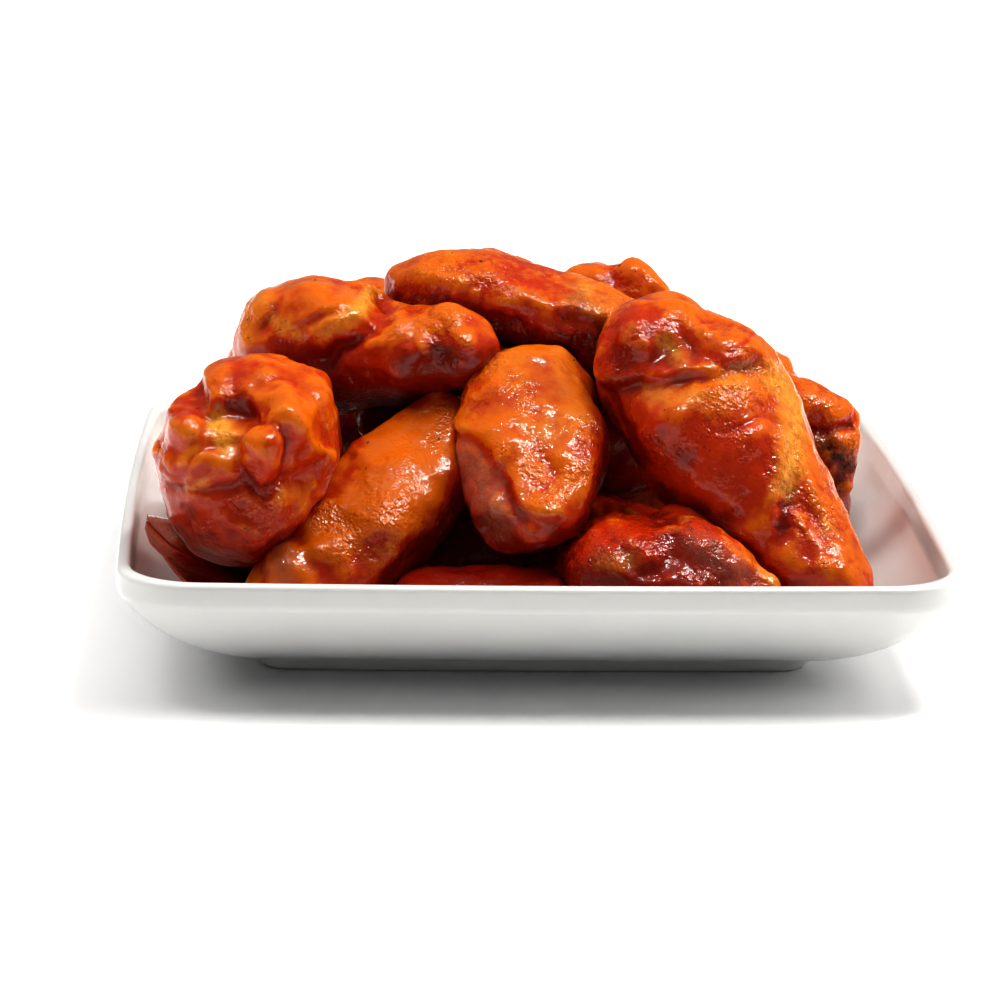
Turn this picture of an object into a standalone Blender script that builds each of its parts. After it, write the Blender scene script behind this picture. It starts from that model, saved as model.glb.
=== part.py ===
"""A serving of sauced chicken wings heaped on a square porcelain plate.

The plate is a closed shell: a foot ring, a wall that curves up from it and a rounded lip. Its centre
stands at x = y = 0 and its foot on z = 0. Each wing is one closed solid, lofted along a bent spine and
placed by its two tips. Wings lie against each other and against the plate with a small gap: every wing
is trimmed by those before it in WINGS, so the ones on the outside of the heap come first.
"""

import math

import bmesh
import bpy
import numpy as np
from mathutils import Matrix, Vector, noise

MM = 0.001
GAP = 0.3 * MM

# The plate, in metres.
PLATE_SIDE = 200 * MM
PLATE_HEIGHT = 30.5 * MM
WALL_THICKNESS = 3.5 * MM
FLOOR_TOP = 7.5 * MM
FOOT_SIDE = 137 * MM
FOOT_HEIGHT = 3.8 * MM
BAND_HEIGHT = 5.7 * MM
FOOT_WIDTH = 6 * MM
FOOT_DRAFT = 2.5 * MM
RECESS_TOP = 3 * MM
DISH = 0.4 * MM
BAND_LEAN = 0.4 * MM
LIP_RISE = 1.2 * MM
LIP_ROUND = (0.8 * MM, 2 * MM)
RIM_CORNER = 19 * MM
FOOT_CORNER = 7 * MM
SIDE_BOW = 1.4 * MM
WALL_STEPS = 6
WALL_SLOPES = (math.radians(12), math.radians(62))
CORNER_STEPS = 5
SIDE_STEPS = 4
ROOM_TOP = 150 * MM

# The unevenness of the skin of every wing.
UNEVEN_HEIGHT = 1.6 * MM
UNEVEN_REACH = 15 * MM

# Shading of the solids.
PORCELAIN = (0.86, 0.85, 0.82)
SAUCED_SKIN = (0.62, 0.13, 0.02)

# Rings along a wing and points round it.
FINE = (13, 18)
COARSE = (9, 13)

# The outline of a wing: how much it thins towards its first tip, and where along it the knuckle sits and
# how far that reaches, as shares of its length. GROOVE_REACH is the groove's half width against the radius.
START_TAPER = 0.12
KNUCKLE_AT = 0.92
KNUCKLE_REACH = 0.07
GROOVE_REACH = 0.35


class Wing:
    """One wing: its tips and sizes in millimetres, and the angle that it is rolled by about its length."""

    def __init__(self, name, kind, start, end, width, thickness, roll=0, bend=(0, 0), blunt=2.6,
                 narrow=None, lumps=(), detail=COARSE):
        self.name = name
        self.kind = kind
        self.start = Vector(start) * MM
        self.end = Vector(end) * MM
        self.width = width * MM
        self.thickness = thickness * MM
        self.length = (self.end - self.start).length
        self.roll = math.radians(roll)
        self.bend = Vector((0, bend[0], bend[1])) * MM
        self.blunt = blunt
        self.narrow = KINDS[kind]["narrow"] if narrow is None else narrow
        self.lumps = lumps
        self.detail = detail


# How far the narrow end tapers, how square the section is, where along the spine it is fullest, how much
# the narrow end swells into a knuckle, and how deep the groove between two bones is.
KINDS = {
    "flat": {"narrow": 0.72, "square": 2.5, "fullest": 0.42, "knuckle": 0.04, "groove": 0.05},
    "drumette": {"narrow": 0.50, "square": 2.1, "fullest": 0.30, "knuckle": 0.22, "groove": 0.0},
}

# A lump is (share of the length, degrees round the section, reach, height) in millimetres, where 0 is
# the side and 90 the upper face. A negative height is a hollow.
WINGS = (
    Wing("drumette_right", "drumette", (23, -32, 82), (76, -80, 13), 44, 38, blunt=2.8, narrow=0.62,
         detail=FINE, lumps=((0.20, 150, 10, -3.5), (0.09, 175, 7, 2.5), (0.32, 50, 12, 4),
                             (0.63, 120, 9, -3), (0.85, 80, 9, 2))),
    Wing("flat_centre", "flat", (3, -27, 71), (-1, -78, 35), 40, 23, blunt=3, narrow=0.8, detail=FINE,
         lumps=((0.86, 140, 8, -2.5), (0.5, 40, 10, 1.5), (0.6, 180, 8, 1.5))),
    Wing("flat_top", "flat", (-37, -6, 86), (46, -21, 59), 34, 21, bend=(0, 5), blunt=3, detail=FINE,
         lumps=((0.15, 260, 9, 2), (0.5, 200, 8, 1.5), (0.7, 60, 8, 1.5))),
    Wing("flat_front_left", "flat", (-14, -34, 57), (-69, -84, 11), 33, 26, roll=-20, detail=FINE,
         lumps=((0.88, 130, 7, 2.5), (0.5, 60, 9, 1.5), (0.3, 120, 8, -1.5))),
    Wing("drumette_left", "drumette", (-71, -77, 55), (-66, -6, 40), 50, 53, blunt=2.8, detail=FINE,
         lumps=((0.08, 20, 8, 4), (0.02, 140, 7, 4), (0.05, 70, 6, -4), (0.10, 250, 9, 3),
                (0.16, 150, 9, 2.5), (0.10, 200, 7, -2.5))),
    Wing("drumette_upper_left", "drumette", (-72, -5, 69), (-10, -40, 73), 37, 35, narrow=0.62,
         detail=FINE, lumps=((0.45, 100, 9, -3), (0.2, 150, 8, 2), (0.72, 200, 7, 2.5))),
    Wing("flat_low_right", "flat", (5, -70, 30), (61, -82, 18), 42, 27, detail=FINE,
         lumps=((0.2, 90, 8, 2.5), (0.4, 100, 7, -2.5), (0.58, 90, 8, 3))),
    Wing("flat_charred_right", "flat", (33, 8, 53), (86, -8, 38), 32, 25, roll=80, blunt=3.5, detail=FINE,
         lumps=((0.8, 0, 8, 2), (0.72, 90, 7, -2), (0.95, 150, 7, 2.5))),
    Wing("flat_top_back", "flat", (9, 19, 78), (58, 23, 60), 30, 23, detail=FINE,
         lumps=((0.36, 130, 6, 3), (0.85, 110, 6, 2))),
    Wing("flat_low_centre", "flat", (21, -72, 19), (-36, -76, 21), 32, 27),
    Wing("drumette_back_left", "drumette", (-72, 12, 57), (-34, 65, 30), 38, 36),
    Wing("drumette_middle", "drumette", (44, -4, 46), (-44, -10, 50), 40, 42),
    Wing("flat_back_upper", "flat", (-48, 15, 70), (11, 48, 57), 38, 27),
    Wing("drumette_back_right", "drumette", (76, 38, 41), (4, 53, 46), 42, 42),
    Wing("flat_under_left", "flat", (-72, 63, 19), (-67, -23, 21), 38, 27),
    Wing("drumette_under_right", "drumette", (70, 63, 23), (67, -32, 19), 40, 34),
    Wing("flat_under_front", "flat", (-38, -34, 21), (46, -29, 21), 42, 29),
    Wing("flat_under_middle", "flat", (44, 21, 23), (-44, 19, 23), 42, 32),
    Wing("flat_rear", "flat", (-50, 65, 19), (40, 63, 19), 40, 27),
)


def clear_scene():
    for obj in list(bpy.data.objects):
        bpy.data.objects.remove(obj, do_unlink=True)


def make_material(name, colour, roughness):
    material = bpy.data.materials.new(name)
    material.use_nodes = True
    shader = material.node_tree.nodes["Principled BSDF"]
    shader.inputs["Base Color"].default_value = (*colour, 1)
    shader.inputs["Roughness"].default_value = roughness
    shader.inputs["Metallic"].default_value = 0
    return material


def make_object(name, points, faces, material=None):
    """A smooth object with flat triangles, which a Boolean can't bend."""
    mesh = bpy.data.meshes.new(name)
    mesh.from_pydata([tuple(point) for point in points], [], faces)
    work = bmesh.new()
    work.from_mesh(mesh)
    bmesh.ops.triangulate(work, faces=work.faces)
    work.to_mesh(mesh)
    work.free()
    if material:
        mesh.materials.append(material)
    mesh.shade_smooth()
    obj = bpy.data.objects.new(name, mesh)
    bpy.context.collection.objects.link(obj)
    return obj


def stack_rings(rings, first_pole, last_pole):
    """Points and faces of a closed skin through rings of points, with a pole to close each end."""
    count = len(rings[0])
    points = [first_pole]
    for ring in rings:
        points.extend(ring)
    points.append(last_pole)
    last = len(points) - 1
    faces = []
    for i in range(count):
        j = (i + 1) % count
        faces.append((0, 1 + j, 1 + i))
        for k in range(len(rings) - 1):
            low = 1 + k * count
            high = low + count
            faces.append((low + i, low + j, high + j, high + i))
        faces.append((last, last - count + i, last - count + j))
    return points, faces


# ---------------------------------------------------------------- plate


def square_ring(half_side, corner, height):
    """A square with round corners and slightly bowed sides, anticlockwise, at one height."""
    bow = SIDE_BOW * half_side / (PLATE_SIDE / 2)
    straight = half_side - corner
    ring = []
    for quarter in range(4):
        turn = Matrix.Rotation(quarter * math.pi / 2, 3, "Z")
        for step in range(SIDE_STEPS):
            along = -1 + 2 * step / SIDE_STEPS
            out = half_side + bow * (1 - along * along)
            ring.append(turn @ Vector((out, along * straight, height)))
        for step in range(CORNER_STEPS):
            angle = step / CORNER_STEPS * math.pi / 2
            across = straight + corner * math.cos(angle)
            ring.append(turn @ Vector((across, straight + corner * math.sin(angle), height)))
    return ring


def wall_curve(foot_half, rim_half, low, high):
    """(half side, height) along an arc whose slope grows from the foot to the band under the rim."""
    first, last = WALL_SLOPES
    curve = []
    for step in range(WALL_STEPS + 1):
        slope = first + (last - first) * step / WALL_STEPS
        out = (math.sin(slope) - math.sin(first)) / (math.sin(last) - math.sin(first))
        up = (math.cos(first) - math.cos(slope)) / (math.cos(first) - math.cos(last))
        curve.append((foot_half + (rim_half - foot_half) * out, low + (high - low) * up))
    return curve


def corner_at(half_side):
    """Corner radius, growing from the foot to the rim."""
    share = (half_side - FOOT_SIDE / 2) / (PLATE_SIDE / 2 - FOOT_SIDE / 2)
    return FOOT_CORNER + (RIM_CORNER - FOOT_CORNER) * min(max(share, 0), 1)


def inner_curve():
    """(half side, height) up the inside, from the floor's edge to just below the lip."""
    rim_inner = PLATE_SIDE / 2 - WALL_THICKNESS
    band_foot = PLATE_HEIGHT - BAND_HEIGHT
    wall = wall_curve(FOOT_SIDE / 2, rim_inner - BAND_LEAN, FLOOR_TOP, band_foot)
    return wall + [(rim_inner, PLATE_HEIGHT - LIP_RISE)]


def plate_profile():
    """(half side, height) from the recess under the plate, over the lip, to the slightly dished floor."""
    foot_half = FOOT_SIDE / 2
    rim_half = PLATE_SIDE / 2
    under = [
        (foot_half / 2, RECESS_TOP + DISH / 2),
        (foot_half - FOOT_WIDTH - 2 * FOOT_DRAFT, RECESS_TOP),
        (foot_half - FOOT_WIDTH - FOOT_DRAFT, 0),
        (foot_half - FOOT_DRAFT, 0),
    ]
    outside = wall_curve(foot_half, rim_half, FOOT_HEIGHT, PLATE_HEIGHT - BAND_HEIGHT)
    across, down = LIP_ROUND
    lip = [
        (rim_half, PLATE_HEIGHT - down),
        (rim_half - across, PLATE_HEIGHT - down / 4),
        (rim_half - WALL_THICKNESS / 2, PLATE_HEIGHT),
    ]
    floor = [(foot_half / 2, FLOOR_TOP - DISH / 2)]
    return under + outside + lip + inner_curve()[::-1] + floor


def make_plate(material):
    rings = []
    for half_side, height in plate_profile():
        rings.append(square_ring(half_side, corner_at(half_side), height))
    recess = Vector((0, 0, RECESS_TOP + DISH))
    points, faces = stack_rings(rings, recess, Vector((0, 0, FLOOR_TOP - DISH)))
    return make_object("plate", points, faces, material)


def make_room():
    """The space that wings may fill: the inside of the plate less the gap, carried straight up."""
    rings = []
    for half_side, height in inner_curve():
        rings.append(square_ring(half_side - GAP * 1.5, corner_at(half_side), height + GAP))
    rings.append(square_ring(PLATE_SIDE / 2 - WALL_THICKNESS, RIM_CORNER, ROOM_TOP))
    floor = Vector((0, 0, FLOOR_TOP + GAP))
    points, faces = stack_rings(rings, floor, Vector((0, 0, ROOM_TOP)))
    return hide_helper(make_object("room", points, faces))


# ---------------------------------------------------------------- wings


def hide_helper(obj):
    obj.hide_render = True
    obj.display_type = "WIRE"
    return obj


def girth(wing, along):
    """Width at a share of the length, as a share of the full width: blunt tips, tapering to the end."""
    kind = KINDS[wing.kind]
    tip = (1 - abs(2 * along - 1) ** wing.blunt) ** (1 / wing.blunt)
    fullest = kind["fullest"]
    if along < fullest:
        taper = 1 - START_TAPER * ((fullest - along) / fullest) ** 2
    else:
        past = (along - fullest) / (1 - fullest)
        taper = 1 - (1 - wing.narrow) * (3 * past**2 - 2 * past**3)
    knuckle = 1 + kind["knuckle"] * math.exp(-(((along - KNUCKLE_AT) / KNUCKLE_REACH) ** 2))
    return tip * taper * knuckle


def spine_point(wing, along):
    bow = 1 - (2 * along - 1) ** 2
    return Vector(((along - 0.5) * wing.length, 0, 0)) + wing.bend * bow


def surface_point(wing, along, angle):
    """A point of the smooth wing in its own frame: X along it, Y to the side, Z out of the upper face."""
    kind = KINDS[wing.kind]
    share = girth(wing, along) / 2
    across = abs(math.cos(angle) / (wing.width * share)) ** kind["square"]
    up = abs(math.sin(angle) / (wing.thickness * share)) ** kind["square"]
    radius = (across + up) ** (-1 / kind["square"])
    radius *= 1 - kind["groove"] * math.exp(-((math.cos(angle) / GROOVE_REACH) ** 2))
    return spine_point(wing, along) + Vector((0, math.cos(angle), math.sin(angle))) * radius


def rise_at(wing, point):
    """How far the skin stands out of the smooth shape: the lumps, and a gentle unevenness all over."""
    seed = sum(ord(letter) for letter in wing.name)
    rise = UNEVEN_HEIGHT * noise.noise(point / UNEVEN_REACH + Vector((seed, 0.37 * seed, 0)))
    for along, degrees, reach, height in wing.lumps:
        distance = (point - surface_point(wing, along, math.radians(degrees))).length
        rise += height * MM * math.exp(-((distance / (reach * MM)) ** 2))
    return rise


def push_out(mesh, amount):
    """Moves each vertex along its normal by amount(point)."""
    moves = [vertex.normal * amount(vertex.co) for vertex in mesh.vertices]
    for vertex, move in zip(mesh.vertices, moves):
        vertex.co += move
    mesh.update()


def make_wing(wing, material=None):
    ring_count, around = wing.detail
    rings = []
    for i in range(ring_count):
        along = (1 - math.cos(math.pi * (i + 0.75) / (ring_count + 0.5))) / 2
        rings.append([surface_point(wing, along, 2 * math.pi * k / around) for k in range(around)])
    points, faces = stack_rings(rings, spine_point(wing, 0), spine_point(wing, 1))
    obj = make_object(wing.name, points, faces, material)
    push_out(obj.data, lambda point: rise_at(wing, point))
    forward = (wing.end - wing.start).normalized()
    side = Vector((0, 0, 1)).cross(forward).normalized()
    turn = Matrix((forward, side, forward.cross(side))).transposed()
    turn = turn @ Matrix.Rotation(wing.roll, 3, "X")
    obj.location = (wing.start + wing.end) / 2
    obj.rotation_euler = turn.to_euler()
    return obj


def make_cutter(wing):
    """The same wing, larger all round by the gap."""
    cutter = hide_helper(make_wing(wing))
    cutter.name = "trim_" + wing.name
    push_out(cutter.data, lambda point: GAP)
    return cutter


def trim(obj, cutter, operation):
    """Applies one Boolean."""
    cut = obj.modifiers.new("trim", "BOOLEAN")
    cut.operation = operation
    cut.solver = "EXACT"
    cut.object = cutter
    bpy.context.view_layer.update()
    graph = bpy.context.evaluated_depsgraph_get()
    mesh = bpy.data.meshes.new_from_object(obj.evaluated_get(graph))
    obj.modifiers.clear()
    obj.data = mesh


def keep_largest(obj):
    """Drops the crumbs that trimming leaves, so that the wing stays one body."""
    work = bmesh.new()
    work.from_mesh(obj.data)
    todo = set(work.verts)
    groups = []
    while todo:
        group = []
        frontier = [todo.pop()]
        while frontier:
            vert = frontier.pop()
            group.append(vert)
            for edge in vert.link_edges:
                other = edge.other_vert(vert)
                if other in todo:
                    todo.remove(other)
                    frontier.append(other)
        groups.append(group)
    groups.sort(key=len)
    for group in groups[:-1]:
        bmesh.ops.delete(work, geom=group, context="VERTS")
    work.to_mesh(obj.data)
    work.free()
    obj.data.shade_smooth()


def box_of(obj):
    corners = [obj.matrix_world @ Vector(corner) for corner in obj.bound_box]
    return np.min(corners, axis=0), np.max(corners, axis=0)


def boxes_meet(first, second):
    (low_a, high_a), (low_b, high_b) = box_of(first), box_of(second)
    return bool((low_a < high_b).all() and (low_b < high_a).all())


def make_wings(material):
    room = make_room()
    cutters = []
    for wing in WINGS:
        obj = make_wing(wing, material)
        bpy.context.view_layer.update()
        if box_of(obj)[0][2] < PLATE_HEIGHT:
            trim(obj, room, "INTERSECT")
        for cutter in cutters:
            if boxes_meet(obj, cutter):
                trim(obj, cutter, "DIFFERENCE")
        keep_largest(obj)
        cutters.append(make_cutter(wing))
    for helper in [room] + cutters:
        bpy.data.objects.remove(helper, do_unlink=True)


def main():
    clear_scene()
    make_plate(make_material("porcelain", PORCELAIN, 0.15))
    make_wings(make_material("sauced skin", SAUCED_SKIN, 0.3))


main()
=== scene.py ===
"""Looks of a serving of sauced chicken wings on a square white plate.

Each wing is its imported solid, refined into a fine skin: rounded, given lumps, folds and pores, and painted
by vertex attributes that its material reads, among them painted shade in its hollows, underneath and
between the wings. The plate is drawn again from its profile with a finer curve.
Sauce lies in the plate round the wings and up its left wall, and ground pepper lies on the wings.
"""

import itertools
import math

import bmesh
import bpy
import numpy as np
from mathutils import Matrix, Vector
from mathutils.bvhtree import BVHTree
from mathutils.kdtree import KDTree


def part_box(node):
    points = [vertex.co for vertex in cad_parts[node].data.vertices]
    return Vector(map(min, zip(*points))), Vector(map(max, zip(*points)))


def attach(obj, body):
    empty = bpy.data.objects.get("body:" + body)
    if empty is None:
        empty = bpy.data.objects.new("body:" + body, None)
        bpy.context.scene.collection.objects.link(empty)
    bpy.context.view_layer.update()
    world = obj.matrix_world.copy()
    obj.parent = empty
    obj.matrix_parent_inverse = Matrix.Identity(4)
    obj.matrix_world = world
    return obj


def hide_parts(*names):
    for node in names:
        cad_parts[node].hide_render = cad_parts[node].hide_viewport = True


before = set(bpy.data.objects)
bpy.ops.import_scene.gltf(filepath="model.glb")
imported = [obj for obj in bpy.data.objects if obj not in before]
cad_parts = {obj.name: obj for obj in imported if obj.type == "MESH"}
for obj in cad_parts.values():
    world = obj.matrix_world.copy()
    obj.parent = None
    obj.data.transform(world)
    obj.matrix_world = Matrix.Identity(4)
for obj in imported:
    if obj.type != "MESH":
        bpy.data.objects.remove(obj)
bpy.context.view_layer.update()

MM = 0.001

# ---------------------------------------------------------------- sizes

# The plate's profile, as it is built in the solid.
PLATE_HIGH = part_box("plate")[1]
PLATE_HEIGHT = PLATE_HIGH.z
SIDE_BOW = 1.4 * MM
PLATE_SIDE = 2 * (PLATE_HIGH.x - SIDE_BOW)
WALL_THICKNESS = 3.5 * MM
FLOOR_TOP = 7.5 * MM
FOOT_SIDE = 137 * MM
FOOT_HEIGHT = 3.8 * MM
BAND_HEIGHT = 5.7 * MM
FOOT_WIDTH = 6 * MM
FOOT_DRAFT = 2.5 * MM
RECESS_TOP = 3 * MM
DISH = 0.4 * MM
BAND_LEAN = 0.4 * MM
RIM_CORNER = 19 * MM
FOOT_CORNER = 7 * MM
WALL_SLOPES = (math.radians(12), math.radians(62))
WALL_STEPS = 26
CORNER_STEPS = 16
SIDE_STEPS = 22
LIP_STEPS = 10

WINGS = sorted(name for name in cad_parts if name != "plate")
IN_FRONT = {
    "drumette_right", "flat_centre", "flat_top", "flat_front_left", "drumette_left",
    "drumette_upper_left", "flat_low_right", "flat_charred_right", "flat_top_back", "flat_low_centre",
}
FINE_VOXEL = 0.65 * MM
PLAIN_VOXEL = 0.95 * MM
FLAT_EASE = 1.5 * MM

# The rays that feel how crowded a point is go along its normal plus an offset, given by a lean and a turn.
CROWD_EVERY = 9
CROWD_REACH = 22 * MM
CROWD_SPREAD = 0.8
CROWD_ROUNDS = 14
CROWD_LEANS = (
    (0.0, 0.0), (0.9, 0.4), (0.9, 1.5), (0.9, 2.5), (0.9, 3.6), (0.9, 4.6), (0.9, 5.7),
    (0.5, 2.0), (0.5, 5.1),
)
CROWD_RAYS = [
    Vector((CROWD_SPREAD * math.cos(turn) * lean, CROWD_SPREAD * math.sin(turn) * lean,
            CROWD_SPREAD * (1 - 2 * lean) * 0.5))
    for lean, turn in CROWD_LEANS
]

# ---------------------------------------------------------------- noise

SEED = 11
CORNERS = [np.array(corner) for corner in itertools.product((0, 1), repeat=3)]
AROUND = [np.array(cell) for cell in itertools.product((-1, 0, 1), repeat=3)]
TABLE_SIZE = 1024
_random = np.random.default_rng(SEED)
GRADIENTS = _random.normal(size=(TABLE_SIZE, 3))
GRADIENTS /= np.linalg.norm(GRADIENTS, axis=1)[:, None]
JITTER = _random.random((TABLE_SIZE, 3))


def picks(cells, seed):
    """A repeatable place in the tables for each lattice cell."""
    x, y, z = (cells[:, axis].astype(np.uint32) for axis in range(3))
    mixed = x * np.uint32(0x9E3779B1) ^ y * np.uint32(0x85EBCA6B) ^ z * np.uint32(0xC2B2AE35)
    mixed ^= np.uint32((seed * 0x27D4EB2F) & 0xFFFFFFFF)
    mixed ^= mixed >> np.uint32(15)
    mixed *= np.uint32(0x2C1B3C6D)
    mixed ^= mixed >> np.uint32(12)
    return mixed % TABLE_SIZE


def waves(points, reach, seed):
    """Smooth noise of about -1 to 1 whose swells are as wide as reach."""
    scaled = points / reach
    base = np.floor(scaled).astype(np.int64)
    inside = scaled - base
    fade = inside**3 * (inside * (inside * 6 - 15) + 10)
    total = np.zeros(len(points))
    for corner in CORNERS:
        slope = GRADIENTS[picks(base + corner, seed)]
        share = np.where(corner, fade, 1 - fade).prod(axis=1)
        total += share * ((inside - corner) * slope).sum(axis=1)
    return total * 1.7


def layered(points, reach, layers, seed):
    """Waves on waves, each layer finer and lower."""
    total = np.zeros(len(points))
    for layer in range(layers):
        total += waves(points, reach / 2.1**layer, seed + layer) / 1.9**layer
    return total


def spots(points, reach, seed):
    """Distance to the nearest of points strewn about reach apart, in units of reach."""
    scaled = points / reach
    base = np.floor(scaled).astype(np.int64)
    nearest = np.full(len(points), 9.0)
    for offset in AROUND:
        cell = base + offset
        away = ((cell + JITTER[picks(cell, seed)] - scaled) ** 2).sum(axis=1)
        nearest = np.minimum(nearest, away)
    return np.sqrt(nearest)


def ramp(values, low, high):
    """0 below low, 1 above high, smooth between."""
    share = np.clip((values - low) / (high - low), 0, 1)
    return share * share * (3 - 2 * share)


# ---------------------------------------------------------------- meshes


def new_object(name, data):
    obj = bpy.data.objects.new(name, data)
    bpy.context.scene.collection.objects.link(obj)
    return obj


def mesh_of(name, points, faces):
    mesh = bpy.data.meshes.new(name)
    mesh.from_pydata([tuple(point) for point in points], [], [tuple(int(i) for i in face) for face in faces])
    mesh.shade_smooth()
    return mesh


def store(mesh, name, values):
    """Writes a number for each vertex, for the material to read."""
    attribute = mesh.attributes.new(name, "FLOAT", "POINT")
    attribute.data.foreach_set("value", np.asarray(values, np.float32))


class Skin:
    """The vertices of a mesh that can be moved along their normals and smoothed."""

    def __init__(self, obj):
        self.obj = obj
        self.mesh = obj.data
        count = len(self.mesh.vertices)
        edges = np.empty(len(self.mesh.edges) * 2, np.int32)
        self.mesh.edges.foreach_get("vertices", edges)
        edges = edges.reshape(-1, 2)
        self.ends = np.concatenate([edges[:, 0], edges[:, 1]])
        self.others = np.concatenate([edges[:, 1], edges[:, 0]])
        self.links = np.bincount(self.ends, minlength=count).astype(float)
        self.points = np.empty(count * 3, np.float32)
        self.mesh.vertices.foreach_get("co", self.points)
        self.points = self.points.reshape(-1, 3).astype(float)
        self.refresh()

    def refresh(self):
        self.mesh.vertices.foreach_set("co", self.points.astype(np.float32).ravel())
        self.mesh.update()
        normals = np.empty(len(self.points) * 3, np.float32)
        self.mesh.vertices.foreach_get("normal", normals)
        self.normals = normals.reshape(-1, 3).astype(float)

    def mean_round(self, values):
        """The mean of each vertex's neighbours."""
        columns = values.reshape(len(values), -1)
        sums = [
            np.bincount(self.ends, weights=columns[self.others, k], minlength=len(values))
            for k in range(columns.shape[1])
        ]
        return (np.stack(sums, axis=1) / self.links[:, None]).reshape(values.shape)

    def blurred(self, values, rounds):
        for _ in range(rounds):
            values = (values + self.mean_round(values)) / 2
        return values

    def smooth(self, rounds):
        self.points = self.blurred(self.points, rounds)
        self.refresh()

    def move(self, heights):
        self.points = self.points + self.normals * heights[:, None]
        self.refresh()

    def hollowness(self, rounds, full):
        """How far each point lies below the smoothed skin: 1 in a full hollow, negative on a ridge."""
        return ((self.blurred(self.points, rounds) - self.points) * self.normals).sum(axis=1) / full


def remeshed(name, source, voxel):
    obj = new_object(name, source.data.copy())
    obj.data.materials.clear()
    for attribute in list(obj.data.attributes):
        if attribute.name.lower().startswith(("color", "uv")):
            obj.data.attributes.remove(attribute)
    change = obj.modifiers.new("refine", "REMESH")
    change.mode = "VOXEL"
    change.voxel_size = voxel
    bpy.context.view_layer.update()
    graph = bpy.context.evaluated_depsgraph_get()
    mesh = bpy.data.meshes.new_from_object(obj.evaluated_get(graph))
    obj.modifiers.clear()
    obj.data = mesh
    mesh.shade_smooth()
    return obj


# ---------------------------------------------------------------- materials


class Nodes:
    """A short way to build a material's nodes."""

    def __init__(self, name):
        self.material = bpy.data.materials.new(name)
        self.material.use_nodes = True
        self.tree = self.material.node_tree
        self.shader = self.tree.nodes["Principled BSDF"]

    def add(self, kind, inputs=None, **settings):
        node = self.tree.nodes.new(kind)
        for key, value in settings.items():
            setattr(node, key, value)
        for key, value in (inputs or {}).items():
            self.feed(node.inputs[key], value)
        return node

    def feed(self, socket, value):
        if isinstance(value, bpy.types.NodeSocket):
            self.tree.links.new(value, socket)
        elif isinstance(value, tuple) and len(value) == 3 and socket.type == "RGBA":
            socket.default_value = (*value, 1)
        else:
            socket.default_value = value

    def attribute(self, name):
        return self.add("ShaderNodeAttribute", attribute_name=name).outputs["Fac"]

    def noise(self, reach, detail=2.0, roughness=0.5):
        place = self.add("ShaderNodeTexCoord").outputs["Object"]
        inputs = {"Scale": 1 / reach, "Detail": detail, "Roughness": roughness, "Vector": place}
        return self.add("ShaderNodeTexNoise", inputs).outputs["Fac"]

    def math(self, operation, first, second):
        return self.add("ShaderNodeMath", {0: first, 1: second}, operation=operation).outputs[0]

    def swing(self, value, size):
        """How far a value of 0 to 1 is from its middle, times size."""
        return self.math("MULTIPLY", self.math("SUBTRACT", value, 0.5), size)

    def ramp(self, value, low, high, start=0.0, end=1.0):
        inputs = {"Value": value, "From Min": low, "From Max": high, "To Min": start, "To Max": end}
        return self.add("ShaderNodeMapRange", inputs, interpolation_type="SMOOTHSTEP").outputs[0]

    def mix(self, share, first, second):
        node = self.add("ShaderNodeMix", data_type="RGBA")
        self.feed(node.inputs["Factor"], share)
        self.feed(node.inputs[6], first)
        self.feed(node.inputs[7], second)
        return node.outputs[2]

    def bump(self, height, distance, strength):
        inputs = {"Height": height, "Distance": distance, "Strength": strength}
        return self.add("ShaderNodeBump", inputs).outputs[0]

    def set(self, **values):
        for key, value in values.items():
            self.feed(self.shader.inputs[key.replace("_", " ")], value)
        return self.material


# Sauce colours from thin and orange to thick and deep red. The deeper ones also stand for painted shade,
# where the sauce attribute is raised in shaded places.
THIN_SAUCE = (0.68, 0.155, 0.003)
FULL_SAUCE = (0.48, 0.037, 0.002)
THICK_SAUCE_AND_SHADE = (0.255, 0.0135, 0.0012)
PALE_FAT = (0.80, 0.38, 0.05)
BROWNED = (0.055, 0.018, 0.008)
FLESH = (0.40, 0.13, 0.085)
FLECKS = (0.10, 0.012, 0.002)
SMEARED_SAUCE = (0.38, 0.11, 0.06)
POOLED_SAUCE = (0.13, 0.010, 0.002)
DEEP_SAUCE = (0.06, 0.004, 0.001)


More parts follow.
